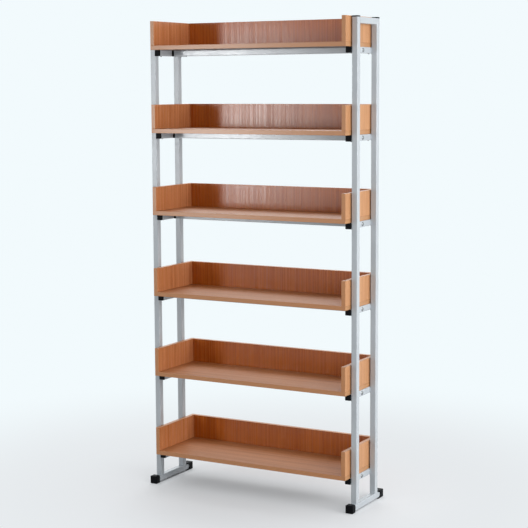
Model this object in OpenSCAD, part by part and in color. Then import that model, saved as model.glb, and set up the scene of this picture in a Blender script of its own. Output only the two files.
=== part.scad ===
// Single-sided library shelving. Two welded end frames of square tube carry six
// open-fronted trays of beech-faced board on pairs of arms, tied by bolted crossbars.
// Millimetres. X runs from left to right, Y from front to back and Z up from the floor.
// The origin is on the floor, midway across the frames and midway through the trays' depth.

/* [End frames] */
// Height of the steel end frames above the floor, without the plugs in their posts
frame_h = 1995; // [1400:1:2400]
// Width over the outer faces of the posts
frame_w = 975; // [700:1:1200]
// Side of every square tube
tube = 25; // [20:1:30]
// Wall of every square tube
tube_wall = 1.5; // [1:0.1:2]
// Outer corner radius of every square tube
tube_r = 2.5; // [2:0.1:4]
// From the trays' front edge back to the front faces of the front posts
post_front_inset = 45; // [40:1:70]
// From the trays' back edge forward to the rear faces of the rear posts
post_rear_inset = 50; // [48:1:70]
// Leg length of a weld seam
weld_leg = 3; // [2:0.1:3.5]

/* [Trays] */
// Height of the lowest tray's underside above the floor
low_tray_z = 135; // [80:1:300]
// Depth of a tray, front to back
tray_d = 300; // [270:1:400]
// Height of a tray, its bottom board included
tray_h = 120; // [90:1:145]
// Thickness of every board
board_t = 18; // [16:1:22]
// Rounding of the boards' edges
board_edge_r = 0.8; // [0.3:0.1:1.5]
// Gap between a tray and the posts beside it
side_gap = 5; // [4.5:0.5:10]

/* [Feet] */
// From the front face of a front post forward to the front end of its foot
foot_front_out = 45; // [30:1:60]
// From the rear face of a rear post back to the rear end of its foot
foot_rear_out = 50; // [49:1:80]
// Wall of a foot cap
cap_wall = 5; // [3:0.5:6]
// Length of a front foot cap
front_cap_l = 26; // [18:1:26]
// Length of a rear foot cap, at its top and bottom lips
rear_cap_l = 45; // [38:1:46]
// Depth of the C-shaped mouth in the cheeks of a rear foot cap
cap_mouth_l = 18; // [13:1:20]
// From the top and bottom of the foot tube to the edges of that mouth
cap_mouth_margin = 0.5; // [0.5:0.5:3]
// Outer corner radius of a foot cap
cap_r = 6; // [5:0.5:8]

/* [Plugs and inserts] */
// Thickness of a tube plug outside its tube
plug_flange_t = 5; // [3:0.5:6]
// Length of a tube plug inside its tube
plug_stem_l = 14; // [8:1:20]
// Wall of a tube plug's hollow stem
plug_stem_wall = 2; // [1.5:0.5:3]
// Thickness of a crossbar insert between tube and arm
insert_flange_t = 11; // [8:1:14]
// Length of a crossbar insert inside its tube
insert_stem_l = 22; // [20:1:40]

/* [Fasteners] */
// Thread diameter of a crossbar bolt
bolt_d = 8; // [6:1:8]
// Head diameter of a crossbar bolt
bolt_head_d = 18; // [14:0.5:20]
// Head height of a crossbar bolt
bolt_head_h = 4.5; // [4:0.5:6]
// Depth to which a crossbar bolt enters its insert
bolt_grip_l = 20; // [14:1:24]
// Thread diameter of a tray screw
screw_d = 5; // [4:0.5:6]
// Head diameter of a tray screw
screw_head_d = 10; // [8:0.5:11]
// Head height of a tray screw
screw_head_h = 3; // [2:0.5:4]
// Depth to which a tray screw enters the tray's bottom board
screw_bite_l = 13; // [8:1:14]
// Distance from the ends of an arm to its tray screws
screw_inset = 24.5; // [24:0.5:60]
// Shank diameter of a confirmat screw
confirmat_d = 5; // [4:0.5:5]
// Head diameter of a confirmat screw
confirmat_head_d = 10; // [8:0.5:11]
// Head height of a confirmat screw, sunk in the tray's bottom board
confirmat_head_h = 4; // [3:0.5:6]
// Depth to which a confirmat screw enters a side or a back
confirmat_bite_l = 32; // [25:1:40]
// Distance from the ends of a board to its outer confirmat screws
confirmat_inset = 42; // [38:1:60]
// Diameter of a dowel
dowel_d = 8; // [6:1:8]
// Depth to which a dowel enters a side
dowel_side_l = 12; // [8:1:13]
// Depth to which a dowel enters a back
dowel_back_l = 18; // [12:1:24]
// Distance of the dowels from the lower and upper edges of a back
dowel_inset = 22; // [15:1:26]

/* [Clearances] */
// All round a plug's or an insert's stem inside its tube
plug_fit = 0.1; // [0.05:0.05:0.3]
// All round a foot tube inside its cap
cap_fit = 0.1; // [0.05:0.05:0.3]
// All round a bolt where it passes through an arm
bolt_clear = 0.25; // [0.1:0.05:0.5]
// All round a thread, a shank or a dowel in its own hole
thread_fit = 0.05; // [0.02:0.01:0.1]
// Between the end of a screw, a bolt or a dowel and the bottom of its hole
end_clear = 0.5; // [0.2:0.1:1]

/* [Hidden] */

// Trays, arms and crossbars are numbered from the top down
TRAY_COUNT = 6;
TRAYS = [1:TRAY_COUNT];
LEFT = -1;
RIGHT = 1;
SIDES = [LEFT, RIGHT];
BOTH_ENDS = [-1, 1];
cut = 1; // how far a cutter runs past the face that it opens
$fn = 48;

frame_colour = "lightgray";
board_colour = "burlywood";
plastic_colour = "black";
zinc_colour = "silver";
dowel_colour = "tan";

// Tube section
tube_in = tube - 2 * tube_wall;
tube_in_r = tube_r - tube_wall;
stem = tube_in - 2 * plug_fit;
stem_r = tube_in_r;

// Across the shelving: centres of posts and arms, and the faces that the crossbars meet
post_x = frame_w / 2 - tube / 2;
arm_x = post_x - tube;
arm_in_x = arm_x - tube / 2;
arm_out_x = arm_x + tube / 2;
crossbar_end_x = arm_in_x - insert_flange_t;
tray_w = frame_w - 2 * tube - 2 * side_gap;
side_x = tray_w / 2 - board_t / 2;
side_in_x = tray_w / 2 - board_t;

// Front to back: the trays, the posts and what lies between them
tray_front_y = -tray_d / 2;
tray_back_y = tray_d / 2;
front_post_y = tray_front_y + post_front_inset + tube / 2;
rear_post_y = tray_back_y - post_rear_inset - tube / 2;
arm_front_y = front_post_y - tube / 2;
arm_back_y = rear_post_y + tube / 2;
arm_mid_y = (arm_front_y + arm_back_y) / 2;
back_y = tray_back_y - board_t / 2;
back_in_y = tray_back_y - board_t;

// Feet: the caps lift the tubes off the floor by their own wall
cap = tube + 2 * cap_wall;
foot_z = cap / 2;
foot_top_z = foot_z + tube / 2;
cap_front_y = arm_front_y - foot_front_out;
cap_back_y = arm_back_y + foot_rear_out;
foot_front_y = cap_front_y + cap_wall;
foot_back_y = cap_back_y - cap_wall;
cap_mouth_r = tube / 2 - cap_mouth_margin;

// Width of a hexagonal drive across its corners, as a share of its head
drive_share = 0.4;

// The top tray's upper edges are level with the tops of the plugs
top_z = frame_h + plug_flange_t;
// Distance from one tray to the next: they spread evenly up the frames
tray_pitch = (top_z - tray_h - low_tray_z) / (TRAY_COUNT - 1);

// Height of the underside of tray n
function tray_z(n) = top_z - tray_h - (n - 1) * tray_pitch;
function arm_z(n) = tray_z(n) - tube / 2;

// Places of the confirmat screws of one tray, as [x, y]
function side_confirmats() = [
    for (side = SIDES, end = BOTH_ENDS) [side * side_x, end * (tray_d / 2 - confirmat_inset)]
];
function back_confirmats() = [
    for (step = [-1:1]) [step * (side_in_x - confirmat_inset), back_y]
];
// Heights of the dowels in a back, from the underside of its tray
function dowel_heights() = [board_t + dowel_inset, tray_h - dowel_inset];
// Places of the tray screws along an arm
function screw_ys() = [arm_front_y + screw_inset, arm_back_y - screw_inset];

// Flat rectangle with rounded corners, centred
module rounded_rectangle(x, y, r) {
    square([x - 2 * r, y], center = true);
    square([x, y - 2 * r], center = true);
    for (i = BOTH_ENDS, j = BOTH_ENDS)
        translate([i * (x / 2 - r), j * (y / 2 - r)]) circle(r);
}

// Section of the square tube
module tube_section() {
    difference() {
        rounded_rectangle(tube, tube, tube_r);
        rounded_rectangle(tube_in, tube_in, tube_in_r);
    }
}

// Extrudes a flat shape along Y from y0 to y1, with its own y upwards
module along_y(y0, y1) {
    translate([0, y1, 0]) rotate([90, 0, 0]) linear_extrude(y1 - y0) children();
}

// Extrudes a flat shape along X from x0 to x1, with its own x along Y
module along_x(x0, x1) {
    translate([x0, 0, 0]) rotate([90, 0, 90]) linear_extrude(x1 - x0) children();
}

// A board with eased edges between two corners
module eased_board(low, high) {
    size = high - low;
    translate((low + high) / 2) intersection() {
        translate([0, 0, -size.z / 2]) linear_extrude(size.z)
            rounded_rectangle(size.x, size.y, board_edge_r);
        along_x(-size.x / 2, size.x / 2) rounded_rectangle(size.y, size.z, board_edge_r);
        along_y(-size.y / 2, size.y / 2) rounded_rectangle(size.x, size.z, board_edge_r);
    }
}

// End frames
module post(side, y) {
    color(frame_colour)
        translate([side * post_x, y, foot_top_z])
            linear_extrude(frame_h - foot_top_z) tube_section();
}

module top_rail(side) {
    color(frame_colour)
        translate([side * post_x, 0, frame_h - tube / 2])
            along_y(front_post_y + tube / 2, rear_post_y - tube / 2) tube_section();
}

module foot(side) {
    color(frame_colour)
        translate([side * post_x, 0, foot_z])
            along_y(foot_front_y, foot_back_y) tube_section();
}

// Arm n, drilled for its crossbar bolt and its two tray screws
module arm(side, n) {
    color(frame_colour) difference() {
        translate([side * arm_x, 0, arm_z(n)])
            along_y(arm_front_y, arm_back_y) tube_section();
        translate([side * arm_x, arm_mid_y, arm_z(n)]) rotate([0, 90, 0])
            cylinder(d = bolt_d + 2 * bolt_clear, h = tube + 2 * cut, center = true);
        for (y = screw_ys()) translate([side * arm_x, y, arm_z(n)])
            cylinder(d = screw_d + 2 * thread_fit, h = tube + 2 * cut, center = true);
    }
}

module crossbar(n) {
    color(frame_colour)
        translate([0, arm_mid_y, arm_z(n)])
            along_x(-crossbar_end_x, crossbar_end_x) tube_section();
}

// Triangular seam of length l along Z, in the corner between +X and +Y
module seam(l) {
    linear_extrude(l, center = true) polygon([[0, 0], [weld_leg, 0], [0, weld_leg]]);
}

// Mirrors its children in X and in Y where the sign given is negative
module flipped(x, y) {
    mirror([x < 0 ? 1 : 0, 0, 0]) mirror([0, y < 0 ? 1 : 0, 0]) children();
}

// Seams of one arm at one post; inward is +1 at the front post and -1 at the rear post
module arm_seams(side, n, y, inward) {
    flat = tube - 2 * tube_r;
    translate([side * arm_out_x, y + inward * tube / 2, arm_z(n)])
        flipped(side, inward) seam(flat);
    for (up = BOTH_ENDS)
        translate([side * arm_out_x, y, arm_z(n) + up * tube / 2])
            rotate([90, 0, 0]) flipped(-side, up) seam(flat);
}

module weld_seams() {
    flat = tube - 2 * tube_r;
    color(frame_colour) for (side = SIDES) {
        for (n = TRAYS) {
            arm_seams(side, n, front_post_y, 1);
            arm_seams(side, n, rear_post_y, -1);
        }
        // Foot of each post, at its front and rear faces
        for (y = [front_post_y, rear_post_y], out = BOTH_ENDS)
            translate([side * post_x, y + out * tube / 2, foot_top_z])
                rotate([90, 0, 90]) flipped(out, 1) seam(flat);
        // Underside of the top rail
        translate([side * post_x, front_post_y + tube / 2, frame_h - tube])
            rotate([90, 0, 90]) flipped(1, -1) seam(flat);
        translate([side * post_x, rear_post_y - tube / 2, frame_h - tube])
            rotate([90, 0, 90]) flipped(-1, -1) seam(flat);
    }
}

// Trays
module pilot(d, depth) {
    translate([0, 0, -cut]) cylinder(d = d + 2 * thread_fit, h = depth + end_clear + cut);
}

module tray_bottom(n) {
    z = tray_z(n);
    color(board_colour) difference() {
        eased_board([-tray_w / 2, tray_front_y, z], [tray_w / 2, tray_back_y, z + board_t]);
        for (side = SIDES, y = screw_ys())
            translate([side * arm_x, y, z]) pilot(screw_d, screw_bite_l);
        for (place = concat(side_confirmats(), back_confirmats()))
            translate([place.x, place.y, z]) {
                pilot(confirmat_d, board_t);
                translate([0, 0, -cut])
                    cylinder(d = confirmat_head_d + 2 * thread_fit, h = confirmat_head_h + cut);
            }
    }
}

module tray_side(side, n) {
    z = tray_z(n);
    low_x = side > 0 ? side_in_x : -tray_w / 2;
    color(board_colour) difference() {
        eased_board([low_x, tray_front_y, z + board_t],
                    [low_x + board_t, tray_back_y, z + tray_h]);
        for (place = side_confirmats()) if (place.x * side > 0)
            translate([place.x, place.y, z + board_t]) pilot(confirmat_d, confirmat_bite_l);
        for (up = dowel_heights())
            translate([side * side_in_x, back_y, z + up]) rotate([0, side * 90, 0])
                pilot(dowel_d, dowel_side_l);
    }
}

module tray_back(n) {
    z = tray_z(n);
    color(board_colour) difference() {
        eased_board([-side_in_x, back_in_y, z + board_t], [side_in_x, tray_back_y, z + tray_h]);
        for (place = back_confirmats())
            translate([place.x, place.y, z + board_t]) pilot(confirmat_d, confirmat_bite_l);
        for (side = SIDES, up = dowel_heights())
            translate([side * side_in_x, back_y, z + up]) rotate([0, -side * 90, 0])
                pilot(dowel_d, dowel_back_l);
    }
}

// Outer shape of a foot cap of length l, closed and rounded at its low end along Y
module cap_shell(l) {
    intersection() {
        along_y(0, l) rounded_rectangle(cap, cap, cap_r);
        translate([0, l / 2, -cap / 2]) linear_extrude(cap) closed_end(l);
        along_x(-cap / 2, cap / 2) translate([l / 2, 0]) rotate(-90) closed_end(l);
    }
}

// Flat outline of a cap along its length: rounded at its low end, square at its mouth
module closed_end(l) {
    rounded_rectangle(cap, l, cap_r);
    translate([0, l / 4]) square([cap, l / 2], center = true);
}

// Cap that wraps the end of a foot tube, with its closed end at the origin
module foot_cap(l) {
    difference() {
        cap_shell(l);
        along_y(cap_wall, l + cut)
            rounded_rectangle(tube + 2 * cap_fit, tube + 2 * cap_fit, tube_r + cap_fit);
    }
}

module front_foot_caps() {
    color(plastic_colour) for (side = SIDES)
        translate([side * post_x, cap_front_y, foot_z]) foot_cap(front_cap_l);
}

// The rear caps' cheeks are cut back in a C, between longer top and bottom lips
module rear_foot_caps() {
    color(plastic_colour) for (side = SIDES)
        translate([side * post_x, cap_back_y, foot_z]) mirror([0, 1, 0]) difference() {
            foot_cap(rear_cap_l);
            along_x(-cap, cap) translate([rear_cap_l, 0]) {
                translate([cap_mouth_r - cap_mouth_l, 0]) circle(cap_mouth_r);
                translate([(cut - cap_mouth_l + cap_mouth_r) / 2, 0])
                    square([cap_mouth_l - cap_mouth_r + cut, 2 * cap_mouth_r], center = true);
            }
        }
}

// Plug for an open tube end: its flange starts at the origin and its stem points down
module tube_plug() {
    linear_extrude(plug_flange_t) rounded_rectangle(tube, tube, tube_r);
    translate([0, 0, -plug_stem_l]) linear_extrude(plug_stem_l) difference() {
        rounded_rectangle(stem, stem, stem_r);
        square(stem - 2 * plug_stem_wall, center = true);
    }
}

module post_plugs() {
    color(plastic_colour) for (side = SIDES, y = [front_post_y, rear_post_y])
        translate([side * post_x, y, frame_h]) tube_plug();
}

module arm_plugs() {
    color(plastic_colour) for (side = SIDES, n = TRAYS) {
        translate([side * arm_x, arm_front_y, arm_z(n)]) rotate([90, 0, 0]) tube_plug();
        translate([side * arm_x, arm_back_y, arm_z(n)]) rotate([-90, 0, 0]) tube_plug();
    }
}

// Threaded insert between each end of a crossbar and its arm
module crossbar_inserts() {
    color(plastic_colour) for (side = SIDES, n = TRAYS)
        translate([side * crossbar_end_x, arm_mid_y, arm_z(n)]) rotate([0, side * 90, 0])
            difference() {
                union() {
                    linear_extrude(insert_flange_t) rounded_rectangle(tube, tube, tube_r);
                    translate([0, 0, -insert_stem_l]) linear_extrude(insert_stem_l)
                        rounded_rectangle(stem, stem, stem_r);
                }
                translate([0, 0, -insert_stem_l - cut])
                    cylinder(d = bolt_d + 2 * thread_fit,
                             h = insert_stem_l + insert_flange_t + 2 * cut);
            }
}

// Screw or bolt with a domed head and a hexagonal socket: the underside of its head is at the
// origin and its thread, of diameter d and length l, points down
module domed_screw(d, l, head_d, head_h) {
    dome_r = (pow(head_d / 2, 2) + pow(head_h, 2)) / (2 * head_h);
    difference() {
        rotate_extrude() intersection() {
            translate([0, head_h - dome_r]) circle(dome_r, $fn = 96);
            square([head_d, head_h]);
        }
        translate([0, 0, head_h * (1 - drive_share)])
            cylinder(d = head_d * drive_share, h = head_h, $fn = 6);
    }
    translate([0, 0, -l]) cylinder(d = d, h = l);
}

module crossbar_bolts() {
    color(zinc_colour) for (side = SIDES, n = TRAYS)
        translate([side * arm_out_x, arm_mid_y, arm_z(n)]) rotate([0, side * 90, 0])
            domed_screw(bolt_d, tube + bolt_grip_l, bolt_head_d, bolt_head_h);
}

// Screws that hold the trays: each passes up through its arm, with its head under the arm
module tray_screws() {
    color(zinc_colour) for (side = SIDES, n = TRAYS, y = screw_ys())
        translate([side * arm_x, y, tray_z(n) - tube]) rotate([180, 0, 0])
            domed_screw(screw_d, tube + screw_bite_l, screw_head_d, screw_head_h);
}

module confirmat_screws() {
    color(zinc_colour)
        for (n = TRAYS, place = concat(side_confirmats(), back_confirmats()))
            translate([place.x, place.y, tray_z(n)]) difference() {
                union() {
                    cylinder(d = confirmat_head_d, h = confirmat_head_h);
                    cylinder(d = confirmat_d, h = board_t + confirmat_bite_l);
                }
                translate([0, 0, -cut])
                    cylinder(d = confirmat_head_d * drive_share,
                             h = confirmat_head_h / 2 + cut, $fn = 6);
            }
}

module dowels() {
    color(dowel_colour) for (n = TRAYS, side = SIDES, up = dowel_heights())
        translate([side * side_in_x, back_y, tray_z(n) + up]) rotate([0, side * 90, 0])
            translate([0, 0, -dowel_back_l])
                cylinder(d = dowel_d, h = dowel_back_l + dowel_side_l);
}

post(LEFT, front_post_y);  // left_front_post
post(LEFT, rear_post_y);  // left_rear_post
top_rail(LEFT);  // left_top_rail
foot(LEFT);  // left_foot
post(RIGHT, front_post_y);  // right_front_post
post(RIGHT, rear_post_y);  // right_rear_post
top_rail(RIGHT);  // right_top_rail
foot(RIGHT);  // right_foot
arm(LEFT, 1);  // left_arm_1
arm(LEFT, 2);  // left_arm_2
arm(LEFT, 3);  // left_arm_3
arm(LEFT, 4);  // left_arm_4
arm(LEFT, 5);  // left_arm_5
arm(LEFT, 6);  // left_arm_6
arm(RIGHT, 1);  // right_arm_1
arm(RIGHT, 2);  // right_arm_2
arm(RIGHT, 3);  // right_arm_3
arm(RIGHT, 4);  // right_arm_4
arm(RIGHT, 5);  // right_arm_5
arm(RIGHT, 6);  // right_arm_6
crossbar(1);  // crossbar_1
crossbar(2);  // crossbar_2
crossbar(3);  // crossbar_3
crossbar(4);  // crossbar_4
crossbar(5);  // crossbar_5
crossbar(6);  // crossbar_6
tray_bottom(1);  // tray_1_bottom
tray_side(LEFT, 1);  // tray_1_left_side
tray_side(RIGHT, 1);  // tray_1_right_side
tray_back(1);  // tray_1_back
tray_bottom(2);  // tray_2_bottom
tray_side(LEFT, 2);  // tray_2_left_side
tray_side(RIGHT, 2);  // tray_2_right_side
tray_back(2);  // tray_2_back
tray_bottom(3);  // tray_3_bottom
tray_side(LEFT, 3);  // tray_3_left_side
tray_side(RIGHT, 3);  // tray_3_right_side
tray_back(3);  // tray_3_back
tray_bottom(4);  // tray_4_bottom
tray_side(LEFT, 4);  // tray_4_left_side
tray_side(RIGHT, 4);  // tray_4_right_side
tray_back(4);  // tray_4_back
tray_bottom(5);  // tray_5_bottom
tray_side(LEFT, 5);  // tray_5_left_side
tray_side(RIGHT, 5);  // tray_5_right_side
tray_back(5);  // tray_5_back
tray_bottom(6);  // tray_6_bottom
tray_side(LEFT, 6);  // tray_6_left_side
tray_side(RIGHT, 6);  // tray_6_right_side
tray_back(6);  // tray_6_back
front_foot_caps();
rear_foot_caps();
post_plugs();
arm_plugs();
crossbar_inserts();
crossbar_bolts();
tray_screws();
confirmat_screws();
dowels();
weld_seams();
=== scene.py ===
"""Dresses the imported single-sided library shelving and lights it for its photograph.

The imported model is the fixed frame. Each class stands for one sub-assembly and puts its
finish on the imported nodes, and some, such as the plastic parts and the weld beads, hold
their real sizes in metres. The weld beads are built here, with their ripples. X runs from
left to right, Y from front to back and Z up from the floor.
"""

from __future__ import annotations

import logging
import math
import random
from dataclasses import dataclass, field
from enum import Enum
from typing import Iterator, Sequence, Union

import bmesh
import bpy
from mathutils import Matrix, Vector


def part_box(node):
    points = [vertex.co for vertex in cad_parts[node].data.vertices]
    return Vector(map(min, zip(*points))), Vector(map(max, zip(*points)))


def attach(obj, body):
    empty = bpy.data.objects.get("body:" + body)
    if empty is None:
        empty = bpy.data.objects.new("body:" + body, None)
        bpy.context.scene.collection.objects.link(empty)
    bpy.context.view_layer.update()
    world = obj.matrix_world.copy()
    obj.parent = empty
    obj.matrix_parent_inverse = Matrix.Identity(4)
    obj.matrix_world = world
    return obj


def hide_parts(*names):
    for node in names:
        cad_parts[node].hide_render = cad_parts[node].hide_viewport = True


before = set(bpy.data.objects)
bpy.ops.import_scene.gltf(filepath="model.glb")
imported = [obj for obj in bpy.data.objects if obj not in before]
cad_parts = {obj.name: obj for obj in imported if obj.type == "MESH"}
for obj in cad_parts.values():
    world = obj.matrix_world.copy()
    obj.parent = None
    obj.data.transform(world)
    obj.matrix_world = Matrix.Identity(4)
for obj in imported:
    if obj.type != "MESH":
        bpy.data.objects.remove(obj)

LOG = logging.getLogger("library_shelving")
BODY = "root"
TRAY_COUNT = 6
MM = 0.001
SAME_PLACE = 0.01 * MM
PLACE_DIGITS = 5

Colour = tuple[float, float, float]
Place = tuple[float, float, float]
Factors = tuple[float, float, float]
Socket = bpy.types.NodeSocket
Value = Union[Socket, float]
Tint = Union[Socket, Colour]


class Side(Enum):
    """The two ends of the shelving, as signs along X."""

    LEFT = -1
    RIGHT = 1

    @property
    def word(self) -> str:
        """The side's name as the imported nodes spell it."""
        return self.name.lower()


class Grain(Enum):
    """Direction in which the printed grain of a board runs, as an axis index."""

    ACROSS = 0
    UPRIGHT = 2


class Face(Enum):
    """Axis that the broad faces of a board look along, as an axis index."""

    SIDEWAYS = 0
    FRONT_BACK = 1
    FLAT = 2


@dataclass(frozen=True)
class Noise:
    """One cloudy noise: features per metre, finer octaves, their share and distortion."""

    per_m: float = 1.0
    detail: float = 2.0
    rough: float = 0.5
    twist: float = 0.0


@dataclass(frozen=True)
class Span:
    """A range of values, and the range that it is mapped onto."""

    low: float
    high: float
    to_low: float = 0.0
    to_high: float = 1.0


@dataclass(frozen=True)
class Relief:
    """A bump: its strength from 0 to 1, and the depth in metres of its full height."""

    strength: float
    depth: float


# A face counts as square to an axis once its normal's part along it passes this range.
SQUARE_ON = Span(0.86, 0.95)
FACING_DOWN = Span(-0.95, -0.86, 1.0, 0.0)

# A Mix node has sockets for each kind of data, and these are the ones for colours.
MIX_FIRST, MIX_SECOND, MIX_RESULT = 6, 7, 2


class Shader:
    """One node material, built step by step around a Principled shader."""

    def __init__(self, name: str) -> None:
        """Start an empty material.

        Args:
            name: Name of the material.
        """
        self.material = bpy.data.materials.new(name)
        self.material.use_nodes = True
        self.tree = self.material.node_tree
        self.tree.nodes.clear()
        self.surface = self.add("ShaderNodeBsdfPrincipled")
        self.output = self.add("ShaderNodeOutputMaterial")
        self.join(self.surface.outputs["BSDF"], self.output.inputs["Surface"])

    def add(self, kind: str) -> bpy.types.Node:
        """Add a node.

        Args:
            kind: Blender's name for the kind of node.

        Returns:
            The new node.
        """
        return self.tree.nodes.new(kind)

    def join(self, source: Socket, target: Socket) -> None:
        """Link one socket to another."""
        self.tree.links.new(source, target)

    def feed(self, value: object, target: Socket) -> None:
        """Put a constant in a socket, or link a socket to it.

        Args:
            value: A number, a colour or a socket.
            target: The socket that receives it.
        """
        if isinstance(value, bpy.types.NodeSocket):
            self.join(value, target)
        elif isinstance(value, tuple) and target.type == "RGBA":
            target.default_value = (*value, 1.0)
        else:
            target.default_value = value

    def place(self) -> Socket:
        """Coordinates on the object, which are metres in the shelving's own frame."""
        return self.add("ShaderNodeTexCoord").outputs["Object"]

    def stretched(self, point: Socket, factors: Sequence[float]) -> Socket:
        """Multiply coordinates by one factor on each axis.

        Args:
            point: The coordinates.
            factors: Factors along X, Y and Z.

        Returns:
            The multiplied coordinates.
        """
        node = self.add("ShaderNodeVectorMath")
        node.operation = "MULTIPLY"
        self.join(point, node.inputs[0])
        node.inputs[1].default_value = tuple(factors)
        return node.outputs["Vector"]

    def noise(self, point: Socket, pattern: Noise) -> Socket:
        """Sample cloudy noise.

        Args:
            point: Where to sample it.
            pattern: How the noise is drawn.

        Returns:
            A value from 0 to 1.
        """
        node = self.add("ShaderNodeTexNoise")
        self.join(point, node.inputs["Vector"])
        node.inputs["Scale"].default_value = pattern.per_m
        node.inputs["Detail"].default_value = pattern.detail
        node.inputs["Roughness"].default_value = pattern.rough
        node.inputs["Distortion"].default_value = pattern.twist
        return node.outputs["Fac"]

    def spread(self, value: Value, span: Span) -> Socket:
        """Map a range of values smoothly onto another, clamped at its ends.

        Args:
            value: The value to map.
            span: The two ranges.

        Returns:
            The mapped value.
        """
        node = self.add("ShaderNodeMapRange")
        node.interpolation_type = "SMOOTHSTEP"
        self.feed(value, node.inputs["Value"])
        for name, number in (("From Min", span.low), ("From Max", span.high),
                             ("To Min", span.to_low), ("To Max", span.to_high)):
            node.inputs[name].default_value = number
        return node.outputs["Result"]

    def calc(self, operation: str, first: Value, second: Value = 0.0) -> Socket:
        """Do one sum on values.

        Args:
            operation: Blender's name for the sum.
            first: First value.
            second: Second value.

        Returns:
            The result.
        """
        node = self.add("ShaderNodeMath")
        node.operation = operation
        self.feed(first, node.inputs[0])
        self.feed(second, node.inputs[1])
        return node.outputs["Value"]

    def blend(self, factor: Value, first: Tint, second: Tint, mode: str = "MIX") -> Socket:
        """Mix two colours.

        Args:
            factor: 0 gives the first colour and 1 the second.
            first: First colour.
            second: Second colour.
            mode: Blender's name for the way of mixing.

        Returns:
            The mixed colour.
        """
        node = self.add("ShaderNodeMix")
        node.data_type = "RGBA"
        node.blend_type = mode
        self.feed(factor, node.inputs[0])
        self.feed(first, node.inputs[MIX_FIRST])
        self.feed(second, node.inputs[MIX_SECOND])
        return node.outputs[MIX_RESULT]

    def parts(self, vector: Socket) -> Sequence[Socket]:
        """Take a vector apart.

        Args:
            vector: The vector.

        Returns:
            Its parts along X, Y and Z.
        """
        node = self.add("ShaderNodeSeparateXYZ")
        self.join(vector, node.inputs[0])
        return node.outputs

    def normal_part(self, face: Face) -> Socket:
        """The normal's part along an axis, from -1 to 1 with its sign.

        Args:
            face: The face whose axis it is.

        Returns:
            That part.
        """
        normal = self.add("ShaderNodeNewGeometry").outputs["True Normal"]
        return self.parts(normal)[face.value]

    def facing(self, face: Face) -> Socket:
        """How squarely the surface looks along an axis, from 0 to 1.

        Args:
            face: The face whose axis it is.

        Returns:
            The size of the normal along that axis.
        """
        return self.calc("ABSOLUTE", self.normal_part(face))

    def relief(self, height: Socket, bump: Relief) -> None:
        """Give the surface a bump.

        Args:
            height: Height of the surface, from 0 to 1.
            bump: How strong and how deep it is.
        """
        node = self.add("ShaderNodeBump")
        node.inputs["Strength"].default_value = bump.strength
        node.inputs["Distance"].default_value = bump.depth
        self.join(height, node.inputs["Height"])
        self.join(node.outputs["Normal"], self.surface.inputs["Normal"])

    def colour(self, value: Tint) -> None:
        """Set the base colour."""
        self.feed(value, self.surface.inputs["Base Color"])

    def roughness(self, value: Value) -> None:
        """Set the roughness."""
        self.feed(value, self.surface.inputs["Roughness"])

    def constant(self, name: str, value: float) -> None:
        """Set a number that is the same all over the surface.

        Args:
            name: Name of the shader's socket.
            value: The number.
        """
        self.surface.inputs[name].default_value = value


@dataclass(frozen=True)
class PowderCoat:
    """Light silver-grey powder coat on steel tube, satin, with a faint orange peel."""

    name: str
    tone: Colour = (0.520, 0.562, 0.600)
    dulled: Colour = (0.465, 0.504, 0.540)
    bright: Colour = (0.64, 0.66, 0.675)
    clouds: Noise = Noise(9.0, detail=3.0)
    cloud_share: Span = Span(0.35, 0.70, 0.0, 0.6)
    flakes: Noise = Noise(2600.0, detail=1.0)
    flake_share: Span = Span(0.60, 0.74, 0.0, 0.22)
    rubbing: Noise = Noise(38.0, detail=4.0, rough=0.65)
    satin: Span = Span(0.40, 0.72, 0.15, 0.22)
    peel: Noise = Noise(620.0, detail=2.0, rough=0.4)
    peel_relief: Relief = Relief(0.25, 0.06 * MM)
    metal_flake: float = 0.03

    def material(self) -> bpy.types.Material:
        """Build the material.

        Returns:
            The powder coat.
        """
        paint = Shader(self.name)
        place = paint.place()
        dulling = paint.spread(paint.noise(place, self.clouds), self.cloud_share)
        speck = paint.spread(paint.noise(place, self.flakes), self.flake_share)
        paint.colour(paint.blend(speck, paint.blend(dulling, self.tone, self.dulled), self.bright))
        paint.roughness(paint.spread(paint.noise(place, self.rubbing), self.satin))
        paint.relief(paint.noise(place, self.peel), self.peel_relief)
        paint.constant("Metallic", self.metal_flake)
        return paint.material


@dataclass(frozen=True)
class Streaks:
    """One layer of the printed grain: features per metre, noise, and how much it shows."""

    across: float
    along: float
    pattern: Noise
    share: Span


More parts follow.
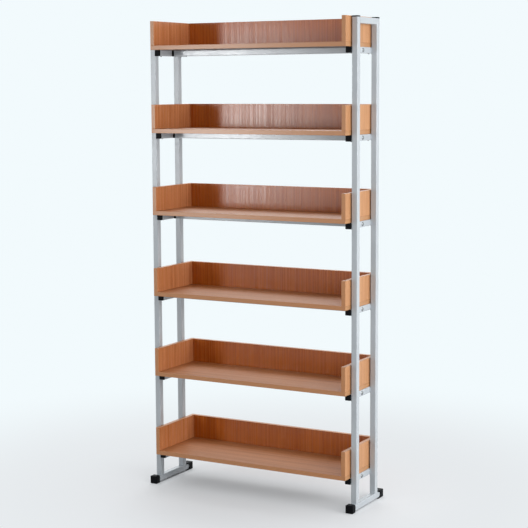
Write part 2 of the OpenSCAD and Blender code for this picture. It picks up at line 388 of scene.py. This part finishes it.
@dataclass(frozen=True)
class BeechLaminate:
    """Melamine with a printed beech grain, and edging glued along the board's edges."""

    name: str
    grain: Grain
    face: Face
    light: Colour
    dark: Colour
    edge: Colour = (0.540, 0.243, 0.102)
    end: Colour = (0.520, 0.270, 0.125)
    glue: Colour = (0.250, 0.110, 0.045)
    # Near-black brown that paints shade on the faces that look down.
    backing: Colour = (0.075, 0.040, 0.022)
    gloss: float = 0.17
    edge_gloss: float = 0.24
    upper_edge_gloss: float = 0.45
    specular: float = 0.44
    bands: Streaks = Streaks(22.0, 1.1, Noise(1.0, 3.0, 0.55, 0.5), Span(0.30, 0.70, 0.0, 0.26))
    lines: Streaks = Streaks(135.0, 1.6, Noise(1.0, 3.0, 0.60), Span(0.38, 0.62, 0.0, 0.56))
    fibres: Streaks = Streaks(900.0, 16.0, Noise(1.0, 2.0), Span(0.35, 0.65, 0.0, 0.18))
    flecks: Streaks = Streaks(1500.0, 210.0, Noise(1.0, 1.0), Span(0.60, 0.70, 0.0, 0.35))
    ribs: Streaks = Streaks(270.0, 1.5, Noise(1.0, 2.0, 0.55), Span(0.38, 0.62, -0.01, 0.10))
    edge_fibres: Span = Span(0.35, 0.70, 0.0, 0.14)
    joint_start: Span = Span(0.62, 0.74)
    joint_end: Span = Span(0.90, 0.80)
    joint_share: float = 0.5
    # Share of that painted shade on the undersides.
    backing_share: float = 0.85
    wear: Noise = Noise(26.0, 3.0, 0.6)
    wear_range: tuple[float, float] = (0.35, 0.75)
    wear_loss: tuple[float, float] = (0.005, 0.02)
    rib_depth: float = 0.5
    fleck_depth: float = 0.8
    pores: Relief = Relief(0.16, 0.05 * MM)

    def layer(self, board: Shader, place: Socket, streaks: Streaks) -> Socket:
        """Draw one layer of streaks along the grain.

        Args:
            board: The material to draw in.
            place: Coordinates on the board.
            streaks: The layer.

        Returns:
            The layer's noise, from 0 to 1.
        """
        factors = [streaks.across] * 3
        factors[self.grain.value] = streaks.along
        return board.noise(board.stretched(place, factors), streaks.pattern)

    def print_tint(self, board: Shader, place: Socket, fibres: Socket, fleck: Socket) -> Socket:
        """Colour the printed grain of the broad faces.

        Args:
            board: The material to draw in.
            place: Coordinates on the board.
            fibres: Noise of the fibres.
            fleck: How much the flecks show.

        Returns:
            The colour.
        """
        bands = board.spread(self.layer(board, place, self.bands), self.bands.share)
        lines = board.spread(self.layer(board, place, self.lines), self.lines.share)
        tone = board.calc("ADD", board.calc("ADD", bands, lines),
                          board.spread(fibres, self.fibres.share))
        return board.blend(fleck, board.blend(tone, self.light, self.dark), self.dark, "MULTIPLY")

    def edge_tint(self, board: Shader, fibres: Socket) -> Socket:
        """Colour the edging, which is a tone of its own at the board's ends.

        Args:
            board: The material to draw in.
            fibres: Noise of the fibres.

        Returns:
            The colour.
        """
        sideways = board.spread(board.facing(Face.SIDEWAYS), SQUARE_ON)
        plain = board.blend(sideways, self.edge, self.end)
        return board.blend(board.spread(fibres, self.edge_fibres), plain, self.dark)

    def surface_roughness(self, board: Shader, place: Socket, ribs: Socket,
                          print_share: Socket) -> Socket:
        """Work out the gloss of the print, with its ribs, and of the edging.

        Args:
            board: The material to draw in.
            place: Coordinates on the board.
            ribs: Noise of the ribs.
            print_share: 1 on the broad faces and 0 on the edging.

        Returns:
            The roughness.
        """
        polished, worn = (self.gloss + loss for loss in self.wear_loss)
        wear = board.spread(board.noise(place, self.wear), Span(*self.wear_range, polished, worn))
        print_rough = board.calc("ADD", wear, board.spread(ribs, self.ribs.share))
        upward = board.spread(board.normal_part(Face.FLAT), SQUARE_ON)
        edge_rough = board.spread(upward, Span(0.0, 1.0, self.edge_gloss, self.upper_edge_gloss))
        edge_share = board.calc("SUBTRACT", 1.0, print_share)
        return board.calc("ADD", board.calc("MULTIPLY", print_rough, print_share),
                          board.calc("MULTIPLY", edge_rough, edge_share))

    def material(self) -> bpy.types.Material:
        """Build the material.

        Returns:
            The laminate.
        """
        board = Shader(self.name)
        place = board.place()
        fibres = self.layer(board, place, self.fibres)
        ribs = self.layer(board, place, self.ribs)
        fleck = board.spread(self.layer(board, place, self.flecks), self.flecks.share)
        square = board.facing(self.face)
        print_share = board.spread(square, SQUARE_ON)
        tint = board.blend(print_share, self.edge_tint(board, fibres),
                           self.print_tint(board, place, fibres, fleck))
        joint = board.calc("MULTIPLY", board.spread(square, self.joint_start),
                           board.spread(square, self.joint_end))
        tint = board.blend(board.calc("MULTIPLY", joint, self.joint_share), tint, self.glue)
        # Faces that look down are darkened towards the near-black brown: painted shade on the
        # undersides.
        downward = board.spread(board.normal_part(Face.FLAT), FACING_DOWN)
        board.colour(board.blend(board.calc("MULTIPLY", downward, self.backing_share), tint,
                                 self.backing))
        board.roughness(self.surface_roughness(board, place, ribs, print_share))
        grooves = board.calc("ADD", fibres, board.calc("MULTIPLY", ribs, self.rib_depth))
        grooves = board.calc("SUBTRACT", grooves, board.calc("MULTIPLY", fleck, self.fleck_depth))
        board.relief(grooves, self.pores)
        board.constant("Specular IOR Level", self.specular)
        return board.material


@dataclass(frozen=True)
class MouldedPlastic:
    """Black moulded plastic with a fine spark-eroded grain."""

    name: str
    tone: Colour = (0.0030, 0.0032, 0.0042)
    rubbed: Colour = (0.0090, 0.0090, 0.0105)
    dust: Noise = Noise(120.0, 4.0, 0.6)
    dust_share: Span = Span(0.45, 0.80)
    dust_gloss: Span = Span(0.30, 0.75, 0.42, 0.56)
    grain: Noise = Noise(2400.0, 2.0, 0.6)
    grain_relief: Relief = Relief(0.35, 0.08 * MM)
    specular: float = 0.06

    def material(self) -> bpy.types.Material:
        """Build the material.

        Returns:
            The plastic.
        """
        plastic = Shader(self.name)
        place = plastic.place()
        dust = plastic.noise(place, self.dust)
        plastic.colour(plastic.blend(plastic.spread(dust, self.dust_share), self.tone, self.rubbed))
        plastic.roughness(plastic.spread(dust, self.dust_gloss))
        plastic.relief(plastic.noise(place, self.grain), self.grain_relief)
        plastic.constant("Specular IOR Level", self.specular)
        return plastic.material


@dataclass(frozen=True)
class ZincPlate:
    """Bright zinc plate on the bolts and screws."""

    name: str
    tone: Colour = (0.230, 0.245, 0.255)
    warm: Colour = (0.200, 0.195, 0.180)
    bloom: Noise = Noise(260.0, 3.0, 0.6)
    bloom_share: Span = Span(0.40, 0.75)
    bloom_gloss: Span = Span(0.30, 0.75, 0.26, 0.42)
    scratches_per_m: Factors = (300.0, 4000.0, 4000.0)
    scratch_relief: Relief = Relief(0.12, 0.03 * MM)

    def material(self) -> bpy.types.Material:
        """Build the material.

        Returns:
            The zinc plate.
        """
        zinc = Shader(self.name)
        place = zinc.place()
        bloom = zinc.noise(place, self.bloom)
        zinc.colour(zinc.blend(zinc.spread(bloom, self.bloom_share), self.tone, self.warm))
        zinc.roughness(zinc.spread(bloom, self.bloom_gloss))
        scratches = zinc.noise(zinc.stretched(place, self.scratches_per_m), Noise(1.0, 2.0))
        zinc.relief(scratches, self.scratch_relief)
        zinc.constant("Metallic", 1.0)
        return zinc.material


@dataclass(frozen=True)
class DowelWood:
    """Plain beech rod, its grain along its length."""

    name: str
    light: Colour = (0.640, 0.455, 0.285)
    dark: Colour = (0.470, 0.300, 0.165)
    grain_per_m: Factors = (60.0, 1400.0, 1400.0)
    grain_share: Span = Span(0.35, 0.70)
    grain_gloss: Span = Span(0.30, 0.70, 0.55, 0.70)
    grain_relief: Relief = Relief(0.30, 0.1 * MM)

    def material(self) -> bpy.types.Material:
        """Build the material.

        Returns:
            The wood.
        """
        wood = Shader(self.name)
        grain = wood.noise(wood.stretched(wood.place(), self.grain_per_m), Noise(1.0, 3.0))
        wood.colour(wood.blend(wood.spread(grain, self.grain_share), self.light, self.dark))
        wood.roughness(wood.spread(grain, self.grain_gloss))
        wood.relief(grain, self.grain_relief)
        return wood.material


class Finishes:
    """Every finish on the shelving, built once and shared by the sub-assemblies."""

    def __init__(self) -> None:
        """Build the materials."""
        self.tube = PowderCoat("frame_powder_coat").material()
        self.bead = PowderCoat("weld_powder_coat", peel=Noise(420.0, 2.0, 0.4),
                               peel_relief=Relief(0.25, 0.09 * MM)).material()
        # The four boards are copies of one beech laminate whose tones paint light and shade: the
        # back darkest and reddest and the left side darker, as painted shade inside the trays, the
        # right side lighter, as painted light on its outer faces, and the bottom in between.
        self.left_board = BeechLaminate(
            "beech_left_side", Grain.UPRIGHT, Face.SIDEWAYS,
            light=(0.640, 0.264, 0.114), dark=(0.455, 0.156, 0.050)).material()
        self.right_board = BeechLaminate(
            "beech_right_side", Grain.UPRIGHT, Face.SIDEWAYS,
            light=(0.635, 0.335, 0.168), dark=(0.478, 0.219, 0.092), gloss=0.34,
            specular=0.38).material()
        self.back_board = BeechLaminate(
            "beech_back", Grain.UPRIGHT, Face.FRONT_BACK,
            light=(0.550, 0.152, 0.018), dark=(0.400, 0.086, 0.006)).material()
        self.bottom_board = BeechLaminate(
            "beech_bottom", Grain.ACROSS, Face.FLAT,
            light=(0.505, 0.200, 0.066), dark=(0.378, 0.132, 0.036), gloss=0.44,
            specular=0.45).material()
        self.plastic = MouldedPlastic("moulded_plastic").material()
        self.zinc = ZincPlate("zinc_plate").material()
        self.dowel = DowelWood("dowel_wood").material()


def node_object(name: str) -> bpy.types.Object:
    """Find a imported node's object.

    Args:
        name: Name of the node.

    Returns:
        Its object.
    """
    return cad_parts[name]


def finish_node(name: str, material: bpy.types.Material) -> None:
    """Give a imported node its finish.

    Args:
        name: Name of the node.
        material: Its finish.
    """
    obj = node_object(name)
    if not obj.material_slots:
        obj.data.materials.append(material)
    for slot in obj.material_slots:
        slot.material = material
    LOG.info("%s: %s", name, material.name)


def soften_edges(name: str, width: float, segments: int = 3,
                 sharp: float = math.radians(40.0)) -> None:
    """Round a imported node's sharp edges with modifiers, its mesh left as it is.

    Args:
        name: Name of the node.
        width: Width of the rounding in metres.
        segments: Number of steps across it.
        sharp: Angle from which an edge counts as sharp.
    """
    obj = node_object(name)
    weld = obj.modifiers.new("join_faces", "WELD")
    weld.merge_threshold = SAME_PLACE
    bevel = obj.modifiers.new("soft_edges", "BEVEL")
    bevel.width = width
    bevel.segments = segments
    bevel.limit_method = "ANGLE"
    bevel.angle_limit = sharp
    bevel.harden_normals = True


@dataclass
class EndFrame:
    """One welded end frame: two posts, a top rail and a foot of square tube."""

    side: Side
    finishes: Finishes
    members: tuple[str, ...] = ("front_post", "rear_post", "top_rail", "foot")

    def dress(self) -> None:
        """Put the powder coat on the tubes."""
        for member in self.members:
            finish_node(f"{self.side.word}_{member}", self.finishes.tube)


@dataclass
class TraySupport:
    """The two arms and the crossbar that carry one tray."""

    number: int
    finishes: Finishes

    def dress(self) -> None:
        """Put the powder coat on the arms and the crossbar."""
        for side in Side:
            finish_node(f"{side.word}_arm_{self.number}", self.finishes.tube)
        finish_node(f"crossbar_{self.number}", self.finishes.tube)


@dataclass
class Tray:
    """One open-fronted tray of four boards."""

    number: int
    finishes: Finishes

    def dress(self) -> None:
        """Put the laminate on the boards, each with its own run of grain and its own tone of
        painted light and shade.
        """
        finish_node(f"tray_{self.number}_bottom", self.finishes.bottom_board)
        finish_node(f"tray_{self.number}_back", self.finishes.back_board)
        finish_node(f"tray_{self.number}_left_side", self.finishes.left_board)
        finish_node(f"tray_{self.number}_right_side", self.finishes.right_board)


@dataclass
class PlasticParts:
    """Foot caps, tube plugs and crossbar inserts, all moulded in black."""

    finishes: Finishes
    edge_rounding: dict[str, float] = field(default_factory=lambda: {
        "front_foot_caps": 0.6 * MM, "rear_foot_caps": 0.6 * MM,
        "post_plugs": 0.9 * MM, "arm_plugs": 0.9 * MM, "crossbar_inserts": 0.5 * MM})

    def dress(self) -> None:
        """Put the plastic on each part and soften its moulded edges."""
        for name, width in self.edge_rounding.items():
            finish_node(name, self.finishes.plastic)
            soften_edges(name, width)


@dataclass
class Fasteners:
    """Bolts, screws and dowels."""

    finishes: Finishes
    metal: tuple[str, ...] = ("crossbar_bolts", "tray_screws", "confirmat_screws")
    bolt_rounding: float = 0.3 * MM

    def dress(self) -> None:
        """Put the zinc on the metal fasteners and the wood on the dowels."""
        for name in self.metal:
            finish_node(name, self.finishes.zinc)
        finish_node("dowels", self.finishes.dowel)
        soften_edges("crossbar_bolts", self.bolt_rounding, segments=2)


@dataclass(frozen=True)
class Seam:
    """One packed weld seam, a three-sided bar in the corner where two tubes meet."""

    run: int
    across: tuple[int, int]
    start: float
    length: float
    root: Vector
    outward: tuple[float, ...]

    @classmethod
    def measured(cls, points: list[Vector]) -> Seam:
        """Measure a seam.

        Args:
            points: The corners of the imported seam.

        Returns:
            The seam, with the axis that it runs along and its root.
        """
        low = Vector(map(min, zip(*points)))
        high = Vector(map(max, zip(*points)))
        size = high - low
        run = max(range(3), key=lambda axis: size[axis])
        first, second = [axis for axis in range(3) if axis != run]
        root = cls.corner(points, first, second)
        outward = tuple(1.0 if root[axis] - low[axis] < size[axis] / 2 else -1.0
                        for axis in range(3))
        return cls(run, (first, second), low[run], size[run], root, outward)

    @staticmethod
    def corner(points: list[Vector], first: int, second: int) -> Vector:
        """Find the right-angled corner of a seam's section.

        Args:
            points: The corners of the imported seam.
            first: Index of one axis of its section.
            second: Index of the other axis.

        Returns:
            A point on the seam's root.
        """
        spots = {(round(point[first], PLACE_DIGITS), round(point[second], PLACE_DIGITS))
                 for point in points}
        for spot in spots:
            others = [other for other in spots if other != spot]
            if (any(abs(other[0] - spot[0]) < SAME_PLACE for other in others)
                    and any(abs(other[1] - spot[1]) < SAME_PLACE for other in others)):
                root = Vector((0.0, 0.0, 0.0))
                root[first], root[second] = spot
                return root
        raise ValueError("a weld seam has no right-angled corner")

    def point(self, along: float, first: float = 0.0, second: float = 0.0) -> Vector:
        """Find a point by its place on the seam.

        Args:
            along: Share of the seam's length from its start.
            first: Distance out from the root along one axis of its section.
            second: Distance out along the other axis.

        Returns:
            The point.
        """
        spot = Vector((0.0, 0.0, 0.0))
        spot[self.run] = self.start + along * self.length
        for axis, reach in zip(self.across, (first, second)):
            spot[axis] = self.root[axis] + self.outward[axis] * reach
        return spot


@dataclass
class WeldBeads:
    """Fillet beads where the tubes meet, each a run of overlapping ripples under the coat."""

    finishes: Finishes
    leg: float = 3.0 * MM
    ripple_pitch: float = 2.2 * MM
    ripple_height: float = 0.35 * MM
    fewest_ripples: int = 3
    steps_per_ripple: int = 6
    steps_round: int = 7
    throat: float = 0.80
    crown: float = 0.12
    crest_spread: float = 0.6
    end_share: float = 0.25
    end_growth: float = 1.2
    unevenness: tuple[float, float] = (0.97, 1.02)
    join_distance: float = 0.001 * MM
    seed: int = 41

    def packed_seams(self) -> Iterator[list[Vector]]:
        """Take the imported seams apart.

        Yields:
            The corners of each seam.
        """
        parts = bmesh.new()
        parts.from_mesh(node_object("weld_seams").data)
        bmesh.ops.remove_doubles(parts, verts=parts.verts, dist=self.join_distance)
        left = set(parts.verts)
        while left:
            group = []
            border = [left.pop()]
            while border:
                vert = border.pop()
                group.append(vert.co.copy())
                for link in vert.link_edges:
                    other = link.other_vert(vert)
                    if other in left:
                        left.discard(other)
                        border.append(other)
            yield group
        parts.free()

    @staticmethod
    def centre(points: list[Vector]) -> tuple[float, ...]:
        """Find a seam's centre, rounded so that the seams sort alike on each run.

        Args:
            points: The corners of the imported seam.

        Returns:
            The centre.
        """
        middle = sum(points, Vector()) / len(points)
        return tuple(round(part, PLACE_DIGITS) for part in middle)

    def ring(self, seam: Seam, along: float, ripples: int, shift: float,
             size: float) -> list[Vector]:
        """Lay out the section of a bead at one place on its seam.

        Args:
            seam: The seam.
            along: Share of its length from its start.
            ripples: Number of ripples on it.
            shift: Share of a ripple by which they all start late.
            size: Size of this section, as a share of the plain one.

        Returns:
            The section's points, its heel at the root last.
        """
        phase = (along * ripples + shift) % 1.0
        crest = self.ripple_height * (1.0 - (2.0 * phase - 1.0) ** 2)
        taper = min(1.0, min(along, 1.0 - along) * ripples * self.end_growth + self.end_share)
        reach = (self.leg + crest * self.crest_spread) * taper * size
        points = []
        for turn in range(self.steps_round):
            angle = turn / (self.steps_round - 1) * math.pi / 2
            swell = math.sin(2 * angle)
            bulge = self.throat + self.crown * swell + crest / self.leg * swell
            points.append(seam.point(along, reach * bulge * math.cos(angle),
                                     reach * bulge * math.sin(angle)))
        points.append(seam.point(along))
        return points

    def bead(self, target: bmesh.types.BMesh, seam: Seam, draw: random.Random) -> None:
        """Add one bead in the place of a packed seam.

        Args:
            target: The mesh that receives the bead.
            seam: The seam.
            draw: Source of its small irregularities.
        """
        ripples = max(self.fewest_ripples, round(seam.length / self.ripple_pitch))
        steps = ripples * self.steps_per_ripple
        shift = draw.uniform(0.0, 1.0)
        rings = []
        for step in range(steps + 1):
            points = self.ring(seam, step / steps, ripples, shift, draw.uniform(*self.unevenness))
            rings.append([target.verts.new(point) for point in points])
        for ring, following in zip(rings, rings[1:]):
            for turn, corner in enumerate(ring):
                onward = (turn + 1) % len(ring)
                target.faces.new((corner, ring[onward], following[onward], following[turn]))
        target.faces.new(rings[0][::-1])
        target.faces.new(rings[-1])

    def build(self) -> None:
        """Build all the beads as one piece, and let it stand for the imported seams."""
        draw = random.Random(self.seed)
        beads = bmesh.new()
        groups = sorted(self.packed_seams(), key=self.centre)
        for points in groups:
            self.bead(beads, Seam.measured(points), draw)
        bmesh.ops.recalc_face_normals(beads, faces=beads.faces)
        mesh = bpy.data.meshes.new("weld_beads")
        beads.to_mesh(mesh)
        beads.free()
        mesh.shade_smooth()
        mesh.materials.append(self.finishes.bead)
        piece = bpy.data.objects.new("weld_beads", mesh)
        bpy.context.scene.collection.objects.link(piece)
        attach(piece, BODY)
        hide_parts("weld_seams")
        LOG.info("weld_beads: %d beads", len(groups))


@dataclass
class PhotoCamera:
    """The camera, at the photograph's place and angle."""

    place: Place = (2.9602, -5.2659, 1.7260)
    yaw: float = 0.51184
    pitch: float = -0.12284
    roll: float = 0.00529
    focal_px: float = 1440.08
    image_px: int = 528
    sensor: float = 36.0
    far_end: float = 100.0

    def build(self) -> None:
        """Place the camera."""
        data = bpy.data.cameras.new("photo_camera")
        data.sensor_width = self.sensor
        data.lens = self.focal_px / self.image_px * self.sensor
        data.clip_end = self.far_end
        camera = bpy.data.objects.new("photo_camera", data)
        turn = (Matrix.Rotation(self.yaw, 4, "Z") @ Matrix.Rotation(self.pitch, 4, "X")
                @ Matrix.Rotation(self.roll, 4, "Y") @ Matrix.Rotation(math.pi / 2, 4, "X"))
        camera.matrix_world = Matrix.Translation(self.place) @ turn
        bpy.context.scene.collection.objects.link(camera)
        bpy.context.scene.camera = camera
        LOG.info("camera: %.1f mm lens", data.lens)


def hang_light(name: str, data: bpy.types.Light, place: Place, way: Vector) -> bpy.types.Object:
    """Put a light in the scene.

    Args:
        name: Name of the light.
        data: Its settings.
        place: Where it hangs.
        way: The way that it shines.

    Returns:
        The light.
    """
    light = bpy.data.objects.new(name, data)
    light.location = place
    light.rotation_euler = way.to_track_quat("-Z", "Y").to_euler()
    bpy.context.scene.collection.objects.link(light)
    return light


@dataclass(frozen=True)
class SoftBox:
    """One soft studio light."""

    name: str
    place: Place
    aim: Place
    width: float
    height: float
    watts: float

    def build(self) -> None:
        """Hang the light, unseen by the camera."""
        data = bpy.data.lights.new(self.name, "AREA")
        data.shape = "RECTANGLE"
        data.size = self.width
        data.size_y = self.height
        data.energy = self.watts
        light = hang_light(self.name, data, self.place, Vector(self.aim) - Vector(self.place))
        light.visible_camera = False


@dataclass(frozen=True)
class Overhead:
    """The broad, even light over the shelving."""

    strength: float = 1.42
    angle: float = 2.30
    place: Place = (0.0, 0.0, 4.0)
    way: Place = (0.08, -0.38, -1.0)

    def build(self) -> None:
        """Hang the light."""
        data = bpy.data.lights.new("overhead", "SUN")
        data.energy = self.strength
        data.angle = self.angle
        hang_light("overhead", data, self.place, Vector(self.way))


def seen_rays(tree: bpy.types.NodeTree) -> Socket:
    """Pick out the rays that show the surround: camera, glossy and transmission rays.

    Args:
        tree: The node tree to work in.

    Returns:
        1 for those rays and 0 for the others.
    """
    path = tree.nodes.new("ShaderNodeLightPath")
    total = path.outputs["Is Camera Ray"]
    for name in ("Is Glossy Ray", "Is Transmission Ray"):
        node = tree.nodes.new("ShaderNodeMath")
        node.operation = "MAXIMUM"
        tree.links.new(total, node.inputs[0])
        tree.links.new(path.outputs[name], node.inputs[1])
        total = node.outputs[0]
    return total


@dataclass
class StudioFloor:
    """Pale floor, which fades into the surround away from the shelving."""

    surround: Colour
    tone: Colour = (0.82, 0.83, 0.85)
    far_tone: Colour = (0.790, 0.818, 0.840)
    bounce: Colour = (0.44, 0.44, 0.435)
    rough: float = 0.75
    specular: float = 0.15
    radius: float = 14.0
    corners: int = 96
    # Share of the floor's glow by distance; its 0.26 beside the shelving is painted light that
    # lightens the shadow there.
    shadow_fade: Span = Span(0.30, 1.00, 0.26)
    horizon_fade: Span = Span(0.8, 2.4)
    # Margins that keep the glow off the floor under the foot tubes, a painted contact shadow.
    foot_margin: tuple[float, float] = (-1.0 * MM, 3.0 * MM)

    def build(self) -> None:
        """Lay the floor."""
        disc = bmesh.new()
        bmesh.ops.create_circle(disc, cap_ends=True, radius=self.radius, segments=self.corners)
        mesh = bpy.data.meshes.new("studio_floor")
        disc.to_mesh(mesh)
        disc.free()
        piece = bpy.data.objects.new("studio_floor", mesh)
        bpy.context.scene.collection.objects.link(piece)
        mesh.materials.append(self.material())

    def material(self) -> bpy.types.Material:
        """Build the floor's finish.

        Returns:
            The material.
        """
        floor = Shader("studio_floor")
        place = floor.place()
        seen = seen_rays(floor.tree)
        floor.colour(floor.blend(seen, self.bounce, self.tone))
        floor.constant("Roughness", self.rough)
        floor.constant("Specular IOR Level", self.specular)
        length = floor.add("ShaderNodeVectorMath")
        length.operation = "LENGTH"
        floor.join(place, length.inputs[0])
        away = length.outputs["Value"]
        glow = floor.add("ShaderNodeEmission")
        floor.join(floor.blend(floor.spread(away, self.horizon_fade), self.far_tone,
                               self.surround), glow.inputs["Color"])
        # The glow lightens the shelving's shadow as painted light, and is left out under the foot
        # tubes as a painted contact shadow.
        fade = floor.calc("MULTIPLY", floor.spread(away, self.shadow_fade),
                          self.clear_of_feet(floor, place))
        mix = floor.add("ShaderNodeMixShader")
        floor.join(floor.calc("MULTIPLY", fade, seen), mix.inputs[0])
        floor.join(floor.surface.outputs["BSDF"], mix.inputs[1])
        floor.join(glow.outputs[0], mix.inputs[2])
        floor.join(mix.outputs[0], floor.output.inputs["Surface"])
        return floor.material

    def clear_of_feet(self, floor: Shader, place: Socket) -> Socket:
        """Find where the floor lies clear of the foot tubes; under them the glow is kept off, which
        paints a dark contact shadow in the gap.

        Args:
            floor: The floor's material.
            place: Coordinates on the floor.

        Returns:
            0 under the tubes and 1 away from them.
        """
        low, high = (Vector(corner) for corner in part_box("right_foot"))
        middle, half = (low + high) / 2, (high - low) / 2
        sideways, back, _ = floor.parts(place)
        shares = []
        for axis, spot in enumerate((floor.calc("ABSOLUTE", sideways), back)):
            off = floor.calc("ABSOLUTE", floor.calc("SUBTRACT", spot, middle[axis]))
            under, clear = (half[axis] + margin for margin in self.foot_margin)
            shares.append(floor.spread(off, Span(under, clear)))
        return floor.calc("MAXIMUM", *shares)


@dataclass
class Studio:
    """Pale surround, pale floor and soft lights."""

    surround: Colour = (0.888, 0.956, 0.982)
    fill: Colour = (0.12, 0.122, 0.124)
    boxes: tuple[SoftBox, ...] = (
        SoftBox("front_left_box", (-2.60, -4.0, 1.5), (-0.27, 0.0, 1.2), 0.52, 1.35, 35.0),
        SoftBox("front_left_wing", (-2.08, -4.0, 1.5), (0.25, 0.0, 1.2), 0.52, 1.35, 7.5),
        SoftBox("right_box", (5.2, -0.35, 2.0), (0.0, 0.0, 1.2), 5.0, 2.4, 190.0),
        SoftBox("right_front_box", (2.9, -2.0, 2.2), (0.0, 0.0, 1.2), 1.6, 1.6, 20.0),
        SoftBox("right_low_box", (3.0, -0.8, 0.15), (-0.4, 0.0, 0.03), 1.8, 0.24, 8.0),
        SoftBox("back_box", (-1.5, 2.7, 3.6), (0.0, 0.0, 0.8), 2.0, 1.6, 51.0),
    )

    def world(self) -> None:
        """Set the surround: pale where it is seen, and a plain fill elsewhere."""
        world = bpy.data.worlds.new("studio")
        bpy.context.scene.world = world
        world.use_nodes = True
        tree = world.node_tree
        tree.nodes.clear()
        mix = tree.nodes.new("ShaderNodeMixShader")
        tree.links.new(seen_rays(tree), mix.inputs[0])
        for tint, entry in ((self.fill, mix.inputs[1]), (self.surround, mix.inputs[2])):
            back = tree.nodes.new("ShaderNodeBackground")
            back.inputs["Color"].default_value = (*tint, 1.0)
            tree.links.new(back.outputs[0], entry)
        output = tree.nodes.new("ShaderNodeOutputWorld")
        tree.links.new(mix.outputs[0], output.inputs["Surface"])

    def build(self) -> None:
        """Set up the surround, the floor and the lights."""
        self.world()
        StudioFloor(self.surround).build()
        Overhead().build()
        for box in self.boxes:
            box.build()
        bpy.context.scene.view_settings.view_transform = "Standard"
        LOG.info("studio: %d lights", len(self.boxes) + 1)


def main() -> None:
    """Place the camera, build and dress every sub-assembly in order, then set up the studio."""
    logging.basicConfig(level=logging.INFO, format="%(message)s")
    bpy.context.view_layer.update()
    PhotoCamera().build()
    finishes = Finishes()
    for side in Side:
        EndFrame(side, finishes).dress()
    for number in range(1, TRAY_COUNT + 1):
        TraySupport(number, finishes).dress()
        Tray(number, finishes).dress()
    PlasticParts(finishes).dress()
    Fasteners(finishes).dress()
    WeldBeads(finishes).build()
    Studio().build()


if __name__ == "__main__":
    main()
